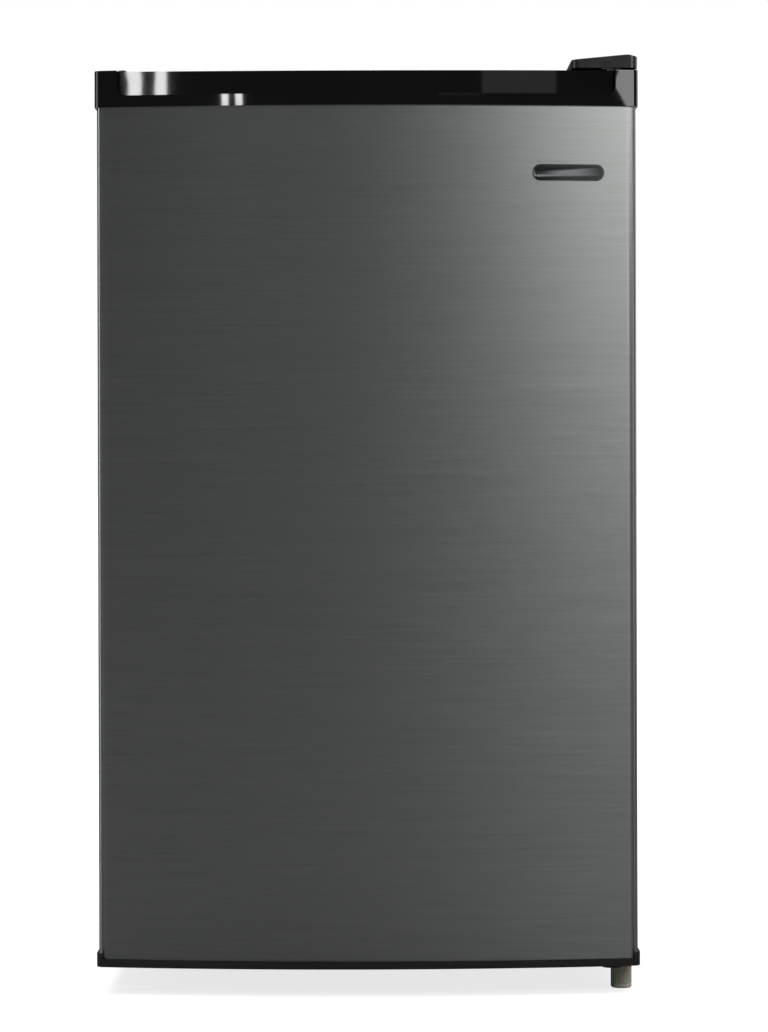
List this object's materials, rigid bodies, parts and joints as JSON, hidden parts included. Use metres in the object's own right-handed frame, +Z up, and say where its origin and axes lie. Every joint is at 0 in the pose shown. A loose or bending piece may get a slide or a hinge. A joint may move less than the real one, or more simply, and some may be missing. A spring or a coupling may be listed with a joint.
{
  "type": "mini fridge",
  "caption": "Compact refrigerator with a bowed brushed-metal door, black end caps with a pocket handle, right-hand hinges, shelves, freezer box and crisper drawer.",
  "frame": {"origin": "on the floor, under the middle of the object's width and depth", "axes": "+Z up, the door faces -Y, the hinges are on the +X side"},
  "size_m": [0.472, 0.45, 0.815],
  "materials": {
    "door_steel": "satin",
    "black_gloss": "gloss",
    "black_plastic": "satin",
    "cabinet_paint": "satin",
    "white_liner": "satin",
    "foam": "matte",
    "gasket": "matte",
    "clear_plastic": "gloss",
    "shelf_glass": "gloss",
    "aluminium": "satin",
    "zinc_steel": "satin",
    "galvanised": "matte",
    "black_steel": "satin",
    "copper": "satin",
    "nylon": "satin",
    "rubber_black": "matte",
    "chrome_rail": "polished"
  },
  "bodies": {
    "cabinet": {"side_panel_left": "cabinet_paint", "side_panel_right": "cabinet_paint", "worktop": "black_plastic", "rear_panel": "galvanised", "base_pan": "galvanised", "front_rail_top": "cabinet_paint", "front_rail_bottom": "cabinet_paint", "inner_liner": "white_liner", "cabinet_foam": "foam", "evaporator": "aluminium", "freezer_bezel": "white_liner", "glass_shelf_lower": "shelf_glass", "glass_shelf_upper": "shelf_glass", "crisper_cover": "shelf_glass", "shelf_trims": "white_liner", "thermostat_housing": "white_liner", "top_hinge_plate": "zinc_steel", "top_hinge_pin": "zinc_steel", "hinge_cover": "black_plastic", "bottom_hinge_bracket": "black_steel", "bottom_hinge_pin": "zinc_steel", "thrust_washer": "nylon", "hinge_screws": "zinc_steel", "rear_feet": "rubber_black", "compressor_shell_top": "black_steel", "compressor_shell_bottom": "black_steel", "compressor_motor": "zinc_steel", "compressor_rail": "galvanised", "compressor_grommets": "rubber_black", "compressor_bolts": "zinc_steel", "relay_cover": "black_plastic", "evaporation_tray": "black_plastic", "drain_tube": "nylon", "suction_tube": "copper", "discharge_tube": "copper", "condenser_tube": "black_steel", "condenser_wires": "black_steel", "condenser_clips": "black_plastic", "filter_drier": "copper", "capillary_tube": "copper", "cord_gland": "rubber_black", "panel_screws": "zinc_steel"},
    "door": {"door_skin": "door_steel", "door_cap_top": "black_gloss", "door_cap_bottom": "black_gloss", "door_liner": "white_liner", "door_foam": "foam", "door_gasket": "gasket", "door_bin_upper": "clear_plastic", "door_bin_middle": "clear_plastic", "door_bin_lower": "clear_plastic", "bottle_rail": "chrome_rail", "hinge_bushes": "nylon", "hinge_hole_plug": "black_plastic"},
    "freezer_flap": {"freezer_flap": "clear_plastic"},
    "drip_tray": {"drip_tray": "clear_plastic"},
    "crisper_drawer": {"crisper_drawer": "clear_plastic"},
    "thermostat_dial": {"thermostat_dial": "white_liner"},
    "front_foot_right": {"front_foot_right": "nylon"},
    "front_foot_left": {"front_foot_left": "nylon"}
  },
  "joints": [
    {"name": "door_hinge", "type": "hinge", "parent": "cabinet", "child": "door", "pos_m": [0.213, -0.1875, 0.4], "axis": [0, 0, 1], "range_deg": [0, 130]},
    {"name": "freezer_flap_hinge", "type": "hinge", "parent": "cabinet", "child": "freezer_flap", "pos_m": [0, -0.0912, 0.645], "axis": [1, 0, 0], "range_deg": [0, 78.5]},
    {"name": "drip_tray_slide", "type": "slide", "parent": "cabinet", "child": "drip_tray", "axis": [0, -1, 0], "range_m": [0, 0.1205]},
    {"name": "crisper_slide", "type": "slide", "parent": "cabinet", "child": "crisper_drawer", "axis": [0, -1, 0], "range_m": [0, 0.1305]},
    {"name": "thermostat_dial_turn", "type": "hinge", "parent": "cabinet", "child": "thermostat_dial", "pos_m": [0.172, -0.005, 0.555], "axis": [-1, 0, 0], "range_deg": [0, 270]},
    {"name": "front_foot_right_turn", "type": "hinge", "parent": "cabinet", "child": "front_foot_right", "pos_m": [0.222, -0.166, 0.01], "axis": [0, 0, 1], "continuous": true},
    {"name": "front_foot_left_turn", "type": "hinge", "parent": "cabinet", "child": "front_foot_left", "pos_m": [-0.2, -0.03, 0.01], "axis": [0, 0, 1], "continuous": true}
  ],
  "couplings": [
    {"joint": "freezer_flap_hinge", "follows": "door_hinge", "ratio": 0.6},
    {"joint": "drip_tray_slide", "follows": "door_hinge", "m_per_rad": 0.052888},
    {"joint": "crisper_slide", "follows": "door_hinge", "m_per_rad": 0.057296}
  ]
}
